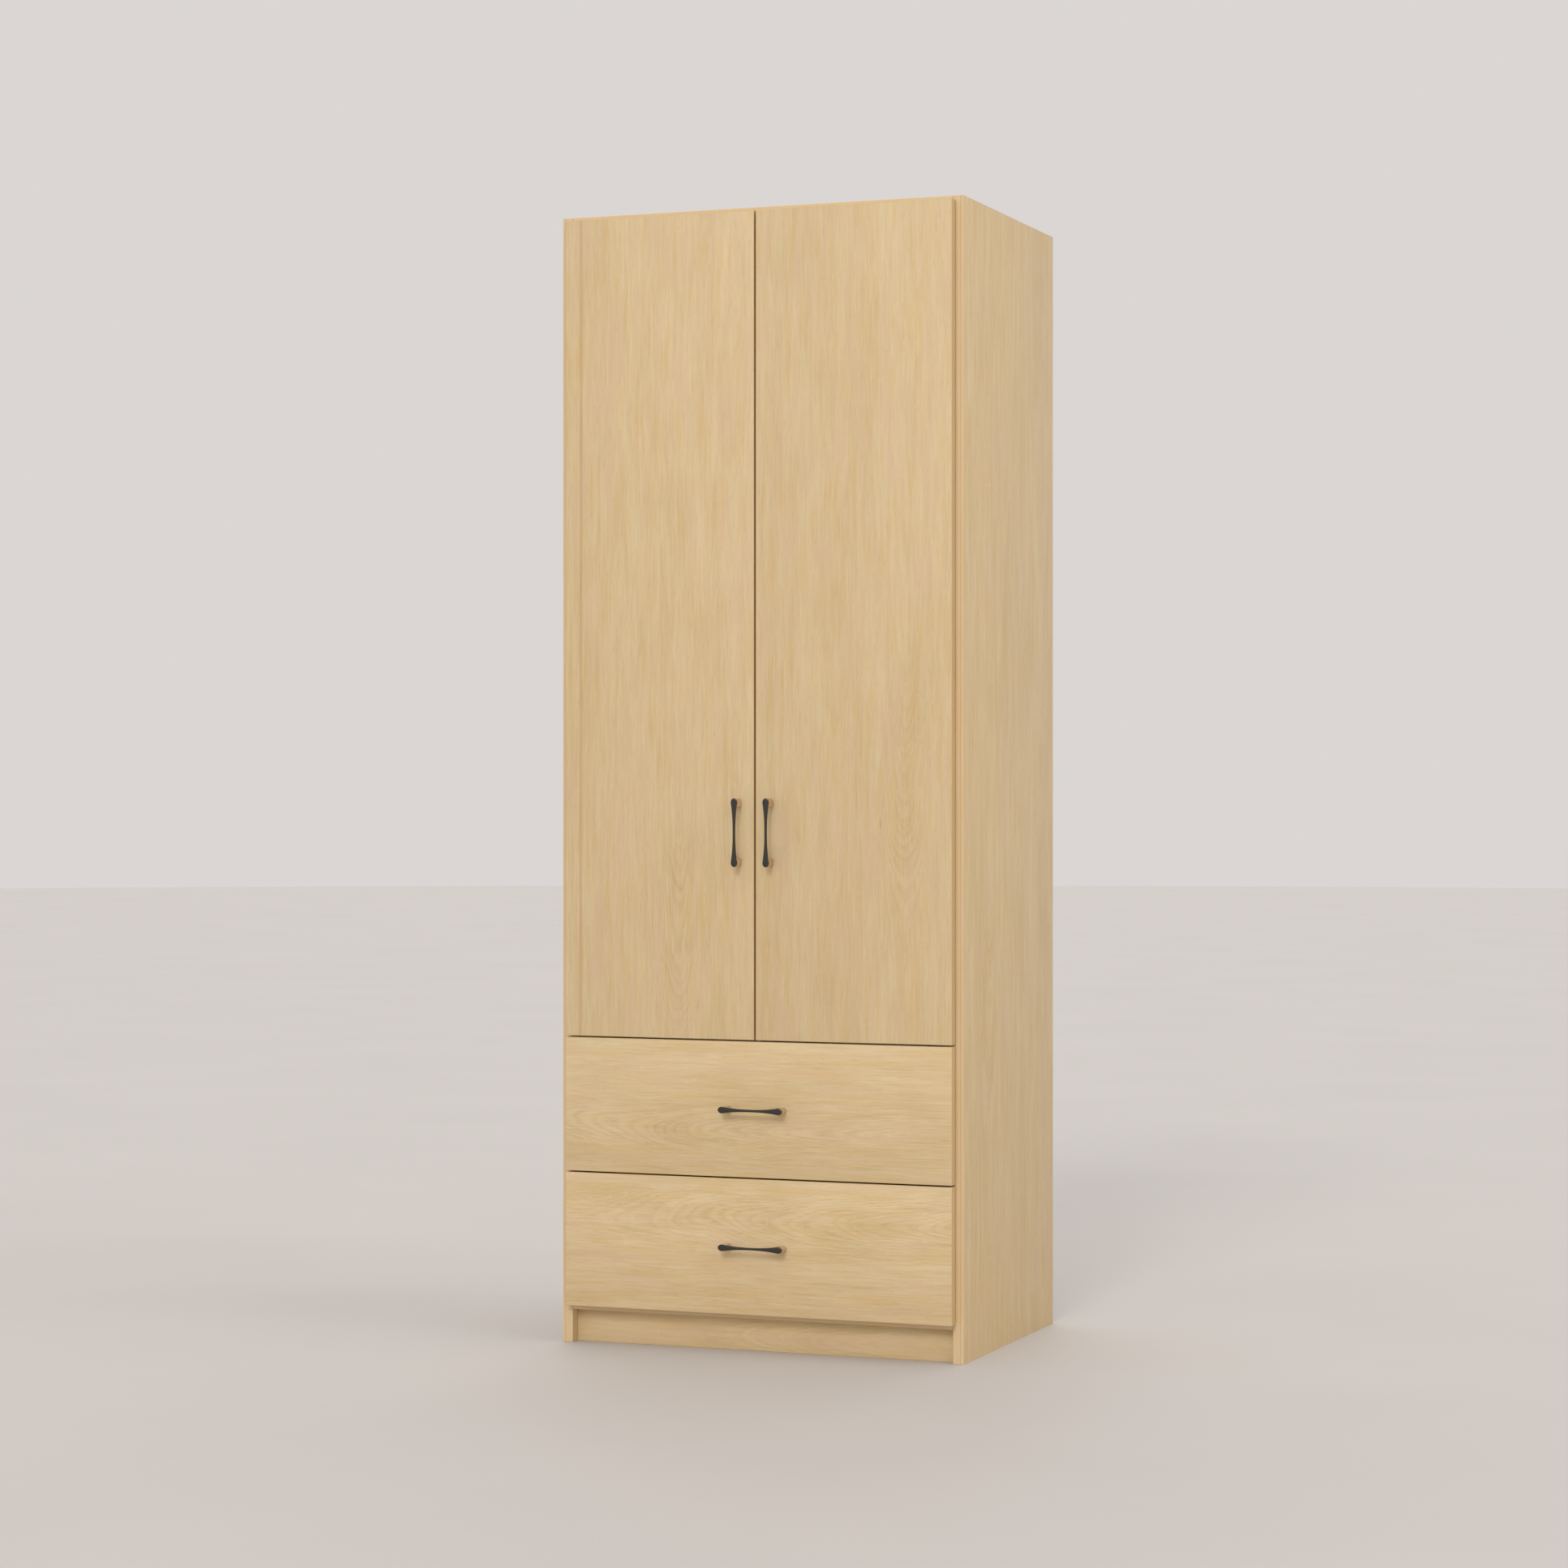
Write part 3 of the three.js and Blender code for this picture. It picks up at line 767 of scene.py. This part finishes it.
HANDLE_SPACING = 106 * MM  # between the posts' screws
HANDLE_END_REACH = 7.8 * MM  # from a screw to the bar's tip
HANDLE_END_WIDTH = 12 * MM
HANDLE_WAIST = 4.5 * MM
HANDLE_WAIST_POWER = 2.3  # how late the waist swells towards the ends
HANDLE_END_SHARE = 0.32  # of each quarter of the outline, what the end's round takes
HANDLE_STEPS = 128
BAR_THICKNESS = 4.2 * MM
BAR_ROUND = 1.5 * MM
POST_LENGTH = 15 * MM
POST_WIDTH = 11 * MM
POST_ROUND = 0.5 * MM
POST_INSET = 0.5 * MM  # from the bar's tip to the post's
POST_SINK = 0.4  # of the bar's thickness, how far a post goes into it
POST_STEPS = 48


def bar_outline(turn):
    """A point of the bar's outline, [across, along], for a turn round it."""
    post_at = HANDLE_SPACING / 2
    quarter = math.pi / 2
    folded = abs((turn + quarter) % math.pi - quarter)  # 0 at the waist, a quarter at the tips
    side = 1 if math.cos(turn) >= 0 else -1
    end = 1 if math.sin(turn) >= 0 else -1
    share = folded / quarter
    if share < 1 - HANDLE_END_SHARE:
        along = share / (1 - HANDLE_END_SHARE)
        swell = HANDLE_END_WIDTH - HANDLE_WAIST
        wide = (HANDLE_WAIST + swell * along ** HANDLE_WAIST_POWER) / 2
        return side * wide, end * along * post_at
    angle = (share - (1 - HANDLE_END_SHARE)) / HANDLE_END_SHARE * quarter
    wide = HANDLE_END_WIDTH / 2 * math.cos(angle)
    return side * wide, end * (post_at + HANDLE_END_REACH * math.sin(angle))


def post_outline(turn, end):
    """A point of a post's outline: square towards the middle, round towards the tip."""
    r = POST_WIDTH / 2
    tip = HANDLE_SPACING / 2 + HANDLE_END_REACH - POST_INSET
    centre = tip - r
    inner = HANDLE_SPACING / 2 + HANDLE_END_REACH - POST_LENGTH
    across, along = r * math.cos(turn), r * math.sin(turn)
    if along < 0:
        reach = centre - inner
        slope = max(abs(math.cos(turn)), abs(math.sin(turn)))
        across = r * math.cos(turn) / slope
        along = reach * math.sin(turn) / slope
    return across, end * (centre + along)


def outline_solid(name, points, low, high):
    """A round face whose rim is moved to an outline, raised between two levels."""
    deselect()
    bpy.ops.mesh.primitive_circle_add(vertices=len(points), radius=1, fill_type="NGON")
    obj = settle(bpy.context.object, name)
    for vertex, (across, along) in zip(obj.data.vertices, points):
        vertex.co = (across, along, low)
    edit(obj, "FACE")
    bpy.ops.mesh.select_all(action="SELECT")
    bpy.ops.mesh.extrude_region_move(TRANSFORM_OT_translate={"value": (0, 0, high - low)})
    bpy.ops.mesh.select_all(action="SELECT")
    bpy.ops.mesh.normals_make_consistent(inside=False)
    leave_edit()
    return obj


def handle_levels():
    """How far a handle's foot and its top stand off the front's face."""
    low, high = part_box("door_left_handle")
    return DOOR_FACE - high[1], DOOR_FACE - low[1]


def bar_template(name):
    """The bar of a handle, its length along Y and the front's face at 0."""
    top = handle_levels()[1]
    outline = [bar_outline(2 * math.pi * i / HANDLE_STEPS) for i in range(HANDLE_STEPS)]
    bar = outline_solid(name, outline, top - BAR_THICKNESS, top)
    return soften(bar, BAR_ROUND, 5, angle=50)


def posts_template(name):
    """The two posts of a handle, as the bar lies. Their tops are sunk in the bar."""
    foot, top = handle_levels()
    post_top = top - BAR_THICKNESS * (1 - POST_SINK)
    posts = []
    for end in (-1, 1):
        points = [post_outline(2 * math.pi * i / POST_STEPS, end) for i in range(POST_STEPS)]
        post = outline_solid(f"{name}_{end}", points, foot, post_top)
        posts.append(soften(post, POST_ROUND, 3, angle=50))
    return joined(name, posts)


def handle(name, body, screw_face):
    """A handle on a front, upright or level as its node is, and its two screws from behind."""
    low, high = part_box(name)
    centre = (Vector(low) + Vector(high)) / 2
    upright = high[2] - low[2] > high[0] - low[0]
    stand = Matrix.Rotation(math.pi / 2, 4, "X")
    if not upright:
        stand = Matrix.Rotation(math.pi / 2, 4, "Y") @ stand
    place = Matrix.Translation((centre.x, DOOR_FACE, centre.z)) @ stand
    bar = settle(copied(TEMPLATES["bar"], place), f"{name}_bar")
    fit(bar, BAR_METAL_PAINTED_DARK_REFLECTION, body, "handle_metal", name)
    posts = settle(copied(TEMPLATES["posts"], place), f"{name}_posts")
    fit(posts, POST_METAL, body, "handle_metal")
    along = Vector((0, 0, 1)) if upright else Vector((1, 0, 0))
    spots = []
    for end in (-1, 1):
        spot = Vector((centre.x, screw_face, centre.z)) + along * (end * HANDLE_SPACING / 2)
        spots.append((spot, BACKWARD))
    fit(stamp(f"{name}_screws", TEMPLATES["handle_screw"], spots), STEEL, body, "hinge_steel")


# ------------------------------------------------------------------ doors and hinges

HINGE_NAMES = ("lower", "middle", "upper")
CUP_BORE_RADIUS = 17.8 * MM
CUP_BORE_DEPTH = 13.3 * MM
CUP_EAR = 22.6 * MM  # from a cup's middle to its screws
PLATE_BACK = 24.5 * MM  # from the arm's rear end to the mounting plate's screws
PLATE_RISE = 3 * MM
PLATE_SCREW = 17 * MM
ARM_RISE = 12 * MM
ARM_SCREWS = (12 * MM, 32 * MM)  # from the arm's rear end


def door(side):
    """A door with its hinge cups let into its back."""
    node = f"door_{side}"
    low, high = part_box(node)

    def bores(core):
        for hinge in HINGE_NAMES:
            cup_low, cup_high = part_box(f"{node}_cup_{hinge}")
            x, z = [(cup_low[i] + cup_high[i]) / 2 for i in (0, 2)]
            floor = DOOR_BACK - CUP_BORE_DEPTH
            mouth = DOOR_BACK + 4 * MM
            place = (x, (floor + mouth) / 2, z)
            cut(core, drum("bore_tool", place, CUP_BORE_RADIUS, mouth - floor, 64, "y"))

    wood = WOODS[node]
    banded_board(
        node, low, high, FRONT_BANDS, wood, node, [node], shape=bores, edge_woods=FRONT_EDGES_PAINTED_SHADE
    )
    for hinge in HINGE_NAMES:
        cup = f"{node}_cup_{hinge}"
        fit(refined(cup, 0.25 * MM), STEEL, node, "hinge_steel", cup)
        cup_low, cup_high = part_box(cup)
        x = (cup_low[0] + cup_high[0]) / 2
        z = (cup_low[2] + cup_high[2]) / 2
        spots = [((x, cup_high[1], z + end * CUP_EAR), BACKWARD) for end in (-1, 1)]
        fit(stamp(f"{cup}_screws", TEMPLATES["hinge_screw"], spots), STEEL, node, "hinge_steel")


def hinge_arm(side, hinge):
    """An arm on its mounting plate, with its fixing screws and the screw that adjusts it."""
    node = f"hinge_arm_{side}_{hinge}"
    fit(refined(node, 0.3 * MM), STEEL, "carcass", "hinge_steel", node)
    low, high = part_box(node)
    z = (low[2] + high[2]) / 2
    face = low[0] if side == "left" else high[0]
    inward = -SIDES[side]
    plate_top = face + inward * PLATE_RISE
    arm_top = face + inward * ARM_RISE
    plate_spots = [
        ((plate_top, high[1] - PLATE_BACK, z + end * PLATE_SCREW), (inward, 0, 0))
        for end in (-1, 1)
    ]
    arm_spots = [((arm_top, high[1] - back, z), (inward, 0, 0)) for back in ARM_SCREWS]
    plate_screws = stamp(f"{node}_plate_screws", TEMPLATES["hinge_screw"], plate_spots)
    fit(plate_screws, STEEL, "carcass", "hinge_steel")
    arm_screws = stamp(f"{node}_arm_screws", TEMPLATES["arm_screw"], arm_spots)
    fit(arm_screws, STEEL, "carcass", "hinge_steel")


def hinge_link(side, hinge):
    """The link between an arm and its cup, which turns half as far as the door."""
    node = f"hinge_link_{side}_{hinge}"
    fit(refined(node, 0.15 * MM), STEEL, f"hinge_links_{side}", "hinge_steel", node)


# ------------------------------------------------------------------ drawers and slides


GROOVE_DEPTH = 6.3 * MM
GROOVE_START = 5.7 * MM  # from a drawer side's front end
FRONT_SCREW_INSET = 60 * MM
FRONT_SCREW_LOW = 45 * MM  # above the box front's lower edge
FRONT_SCREW_HIGH = 35 * MM  # under its upper edge


def drawer(which):
    """A drawer's front and its box, whose bottom sits in grooves in the sides and the box front."""
    body = f"drawer_{which}"
    front = f"{body}_front"
    low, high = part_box(front)
    banded_board(
        front, low, high, FRONT_BANDS, WOODS[body], body, [front], edge_woods=FRONT_EDGES_PAINTED_SHADE
    )

    floor_low, floor_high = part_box(f"{body}_bottom")
    groove_low = floor_low[2] - CLEARANCE
    groove_high = floor_high[2] + CLEARANCE
    slot = "drawer_board"
    for side, sign in SIDES.items():
        node = f"{body}_side_{side}"
        low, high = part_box(node)

        def side_groove(board, low=low, high=high, side=side, sign=sign):
            inner = low[0] if side == "right" else high[0]
            ends = sorted([inner - sign * 3 * MM, inner + sign * GROOVE_DEPTH])
            tool_low = (ends[0], low[1] + GROOVE_START, groove_low)
            tool_high = (ends[1], high[1] + OVERSHOOT, groove_high)
            cut(board, cuboid("groove_tool", tool_low, tool_high))

        wood = WOODS["drawer_side"]
        banded_board(node, low, high, ["+z"], wood, body, [node], slot, side_groove)

    def front_groove(board):
        low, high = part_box(f"{body}_box_front")
        tool_low = (low[0] - MM, high[1] - GROOVE_DEPTH, groove_low)
        tool_high = (high[0] + MM, high[1] + MM, groove_high)
        cut(board, cuboid("groove_tool", tool_low, tool_high))

    for end, shape in (("box_front", front_groove), ("box_back", None)):
        node = f"{body}_{end}"
        low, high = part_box(node)
        banded_board(node, low, high, ["+z"], WOODS["drawer_end"], body, [node], slot, shape)
    base = cuboid(f"{body}_bottom", floor_low, floor_high)
    soften(base, 0.3 * MM, 2)
    fit(base, HARDBOARD, body, "hardboard", f"{body}_bottom")

    low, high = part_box(f"{body}_box_front")
    spots = [
        ((x, high[1], z), BACKWARD)
        for x in (low[0] + FRONT_SCREW_INSET, high[0] - FRONT_SCREW_INSET)
        for z in (low[2] + FRONT_SCREW_LOW, high[2] - FRONT_SCREW_HIGH)
    ]
    fit(stamp(f"{body}_front_screws", TEMPLATES["handle_screw"], spots), STEEL, body, "slide_steel")


SLIDE_SHEET = 1.2 * MM
CABINET_SCREWS = (37 * MM, 229 * MM, 357 * MM)  # from the slide's front
DRAWER_SCREWS = (37 * MM, 133 * MM, 261 * MM, 389 * MM)
BALL_RADIUS = 1.45 * MM
BALL_STEP = 13 * MM
BALLS = 14  # in one row
BALL_END = 12 * MM  # from the middle member's rear end to the last ball
CAGE_SHEET = 0.5 * MM
CAGE_END = 6 * MM  # from the last ball to the cage's end
CAGE_LIP = 3.4 * MM
LEVER_START = 168 * MM  # from the slide's front
LEVER_LENGTH = 46 * MM
LEVER_SHEET = 1.4 * MM
LEVER_HALF = 4 * MM
LEVER_CORNER = 3.6 * MM


def slides(which):
    """Three members a side, the screws that hold the outer two, and the ball cages between them."""
    parts = {"cabinet": "carcass", "middle": f"slide_middles_{which}", "drawer": f"drawer_{which}"}
    for side, sign in SIDES.items():
        boxes = {}
        for kind, body in parts.items():
            node = f"drawer_{which}_slide_{kind}_{side}"
            fit(refined(node, 0.3 * MM), SLIDE_STEEL, body, "slide_steel", node)
            boxes[kind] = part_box(node)
        z = (boxes["cabinet"][0][2] + boxes["cabinet"][1][2]) / 2
        front = boxes["cabinet"][0][1]
        wall = max(abs(boxes["cabinet"][0][0]), abs(boxes["cabinet"][1][0]))
        web = min(abs(boxes["drawer"][0][0]), abs(boxes["drawer"][1][0]))
        rows = (
            ("cabinet", wall - SLIDE_SHEET, -sign, CABINET_SCREWS),
            ("drawer", web + SLIDE_SHEET, sign, DRAWER_SCREWS),
        )
        for kind, x, direction, places in rows:
            spots = [((sign * x, front + at, z), (direction, 0, 0)) for at in places]
            name = f"drawer_{which}_slide_{kind}_screws_{side}"
            screws = stamp(name, TEMPLATES["slide_screw"], spots)
            fit(screws, STEEL, parts[kind], "slide_steel")
        ball_cage(which, side, sign, boxes)
        release_lever(which, side, sign, boxes["drawer"], front, web)


def ball_cage(which, side, sign, boxes):
    """The balls between the cabinet and middle members, at the end that stays in the cabinet."""
    middle_low, middle_high = boxes["middle"]
    outer_low, outer_high = boxes["cabinet"]
    x = (middle_low[0] + middle_high[0]) / 2
    z = (outer_low[2] + outer_high[2]) / 2
    reach = ((middle_high[2] - middle_low[2]) + (outer_high[2] - outer_low[2]) - 2 * SLIDE_SHEET) / 4
    last = middle_high[1] - BALL_END
    first = last - (BALLS - 1) * BALL_STEP
    spots = [
        ((x, first + i * BALL_STEP, z + up * reach), (0, 0, 1))
        for i in range(BALLS)
        for up in (-1, 1)
    ]
    body = f"slide_middles_{which}"
    name = f"drawer_{which}_slide"
    fit(stamp(f"{name}_balls_{side}", TEMPLATES["ball"], spots), CHROME, body, "slide_steel")

    face = max(abs(middle_low[0]), abs(middle_high[0])) + SLIDE_SHEET
    ends = sorted([sign * face, sign * (face + CAGE_SHEET)])
    half = reach + CAGE_SHEET / 2
    low = (ends[0], first - CAGE_END, z - half)
    cage = cuboid(f"{name}_cage_{side}", low, (ends[1], last + CAGE_END, z + half))
    edit(cage)
    for level in (z - half + CAGE_SHEET, z + half - CAGE_SHEET):
        bpy.ops.mesh.select_all(action="SELECT")
        bpy.ops.mesh.bisect(plane_co=(0, 0, level), plane_no=(0, 0, 1))
    bpy.ops.mesh.select_mode(type="FACE")

    def lip(face_item):
        centre = face_item.calc_center_median()
        return face_item.normal.x * sign < -0.9 and abs(centre.z - z) > half - CAGE_SHEET

    pick(cage, "faces", lip)
    inward = (-sign * CAGE_LIP, 0, 0)
    bpy.ops.mesh.extrude_region_move(TRANSFORM_OT_translate={"value": inward})
    leave_edit()
    soften(cage, 0.1 * MM, 1)
    fit(cage, SLIDE_STEEL, body, "slide_steel")


def release_lever(which, side, sign, box, front, web):
    """The black lever that frees a drawer from its slide."""
    z = (box[0][2] + box[1][2]) / 2
    foot = web + SLIDE_SHEET
    faces = sorted([sign * foot, sign * (foot + LEVER_SHEET)])
    start = front + LEVER_START
    low = (faces[0], start, z - LEVER_HALF)
    high = (faces[1], start + LEVER_LENGTH, z + LEVER_HALF)
    lever = cuboid(f"drawer_{which}_slide_lever_{side}", low, high)
    edit(lever)
    pick(lever, "edges", lambda e: abs(e.verts[0].co.x - e.verts[1].co.x) > 1 * MM)
    bpy.ops.mesh.bevel(offset=LEVER_CORNER, segments=6, affect="EDGES")
    leave_edit()
    soften(lever, 0.3 * MM, 2)
    fit(lever, BLACK_PLASTIC, f"drawer_{which}", "slide_steel")


# ------------------------------------------------------------------ small fittings


CAM_INSET = (34 * MM, 60 * MM)  # from a board's ends, and from its front and rear edges
PAD_RADIUS = 4 * MM
PAD_RISE = 1.2 * MM
PAD_PLACES = (24 * MM, 300 * MM)  # from the cabinet's middle
PAD_DROP = 5.5 * MM  # under the door's top edge


def cam_fittings():
    """Cams under the ends of each level board but the lowest."""
    along, deep = CAM_INSET
    for node in ("top_panel", "hat_shelf", "fixed_shelf"):
        low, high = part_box(node)
        spots = [
            ((x, y, low[2]), DOWNWARD)
            for x in (low[0] + along, high[0] - along)
            for y in (low[1] + deep, high[1] - deep)
        ]
        cams = stamp(f"{node}_cams", TEMPLATES["cam"], spots)
        fit(cams, CAM_METAL, "carcass", "hinge_steel")


def bumper_pads():
    """Soft pads where the doors close on the top panel."""
    pad = drum("pad_template", (0, 0, PAD_RISE / 2), PAD_RADIUS, PAD_RISE, 28)
    soften(pad, 0.5 * MM, 4)
    for side, sign in SIDES.items():
        node = f"door_{side}"
        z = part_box(node)[1][2] - PAD_DROP
        spots = [((sign * x, DOOR_BACK, z), BACKWARD) for x in PAD_PLACES]
        fit(stamp(f"{node}_bumper_pads", pad, spots), CLEAR_PAD, node, "drawer_board")
    bpy.data.objects.remove(pad)


# ------------------------------------------------------------------ stage


CAMERA_TURN = math.radians(21.05)
CAMERA_PLACE = (2.3991, CARCASS_FRONT - 6.1106, 1.009)
LENS = 85.0
SENSOR_WIDTH = 36.0
FLOOR_RADIUS = 30
SURROUNDINGS = colour(236, 231, 228)
SURROUNDINGS_STRENGTH = 0.84
FLOOR_DARK = colour(194, 191, 189)
FLOOR_LIGHT = colour(200, 197, 195)


def camera():
    """A level camera, off to the right, so that the front and the right side show."""
    data = bpy.data.cameras.new("camera")
    data.lens = LENS
    data.sensor_width = SENSOR_WIDTH
    view = bpy.data.objects.new("camera", data)
    bpy.context.scene.collection.objects.link(view)
    view.location = CAMERA_PLACE
    view.rotation_euler = (math.pi / 2, 0, CAMERA_TURN)
    bpy.context.scene.camera = view


def lamp(name, towards, strength, spread, tint):
    """An even light from a disc a long way off, spread degrees wide. Towards points to the disc."""
    data = bpy.data.lights.new(name, "SUN")
    data.energy = strength
    data.angle = math.radians(spread)
    data.color = tint
    light = bpy.data.objects.new(name, data)
    bpy.context.scene.collection.objects.link(light)
    light.rotation_euler = Vector(towards).to_track_quat("Z", "Y").to_euler()


def stage():
    """A pale floor, pale surroundings, and light from the front, the right side and the rear."""
    deselect()
    bpy.ops.mesh.primitive_circle_add(vertices=96, radius=FLOOR_RADIUS, fill_type="NGON")
    floor = settle(bpy.context.object, "floor")
    shader = Shader("pale_floor", Roughness=0.6, Specular_IOR_Level=0.2)
    cloud = shader.noise((1.5, 1.5, 1.5), detail=3.0)
    pale = shader.paint(Base_Color=shader.blend(cloud, FLOOR_DARK, FLOOR_LIGHT))
    floor.data.materials.append(pale)

    world = bpy.data.worlds.new("surroundings")
    world.use_nodes = True
    background = world.node_tree.nodes["Background"]
    background.inputs["Color"].default_value = SURROUNDINGS
    background.inputs["Strength"].default_value = SURROUNDINGS_STRENGTH
    bpy.context.scene.world = world

    lamp("key", towards=(0.1, -1.0, 0.62), strength=0.94, spread=18, tint=(1.0, 0.98, 0.95))
    lamp("side", towards=(1.0, -0.1, 0.9), strength=0.53, spread=40, tint=(1.0, 0.97, 0.92))
    lamp("back", towards=(-0.3, 1.0, 1.3), strength=0.6, spread=60, tint=(1.0, 0.98, 0.96))
    bpy.context.scene.view_settings.view_transform = "Standard"


# ------------------------------------------------------------------ making

camera()
stage()

for side in SIDES:
    side_panel(side)
level_boards()
back_panel()
hanging_rod()

# Fittings that are made once and copied. Each screw has its head's radius and height.
TEMPLATES = {
    "handle_screw": screw_template("handle_screw_template", 4.2 * MM, 2.4 * MM),
    "hinge_screw": screw_template("hinge_screw_template", 3.4 * MM, 0.8 * MM),
    "arm_screw": screw_template("arm_screw_template", 3.0 * MM, 0.9 * MM),
    "slide_screw": screw_template("slide_screw_template", 3.6 * MM, 1.1 * MM),
    "cam": cam_template("cam_template", 7.5 * MM),
    "ball": ball_template("ball_template", BALL_RADIUS),
    "bar": bar_template("bar_template"),
    "posts": posts_template("posts_template"),
}

for side in SIDES:
    door(side)
    for hinge in HINGE_NAMES:
        hinge_arm(side, hinge)
        hinge_link(side, hinge)
    handle(f"door_{side}_handle", f"door_{side}", DOOR_BACK)

for which in ("lower", "upper"):
    drawer(which)
    slides(which)
    screw_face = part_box(f"drawer_{which}_box_front")[1][1]
    handle(f"drawer_{which}_handle", f"drawer_{which}", screw_face)

cam_fittings()
bumper_pads()

for template in TEMPLATES.values():
    bpy.data.objects.remove(template)
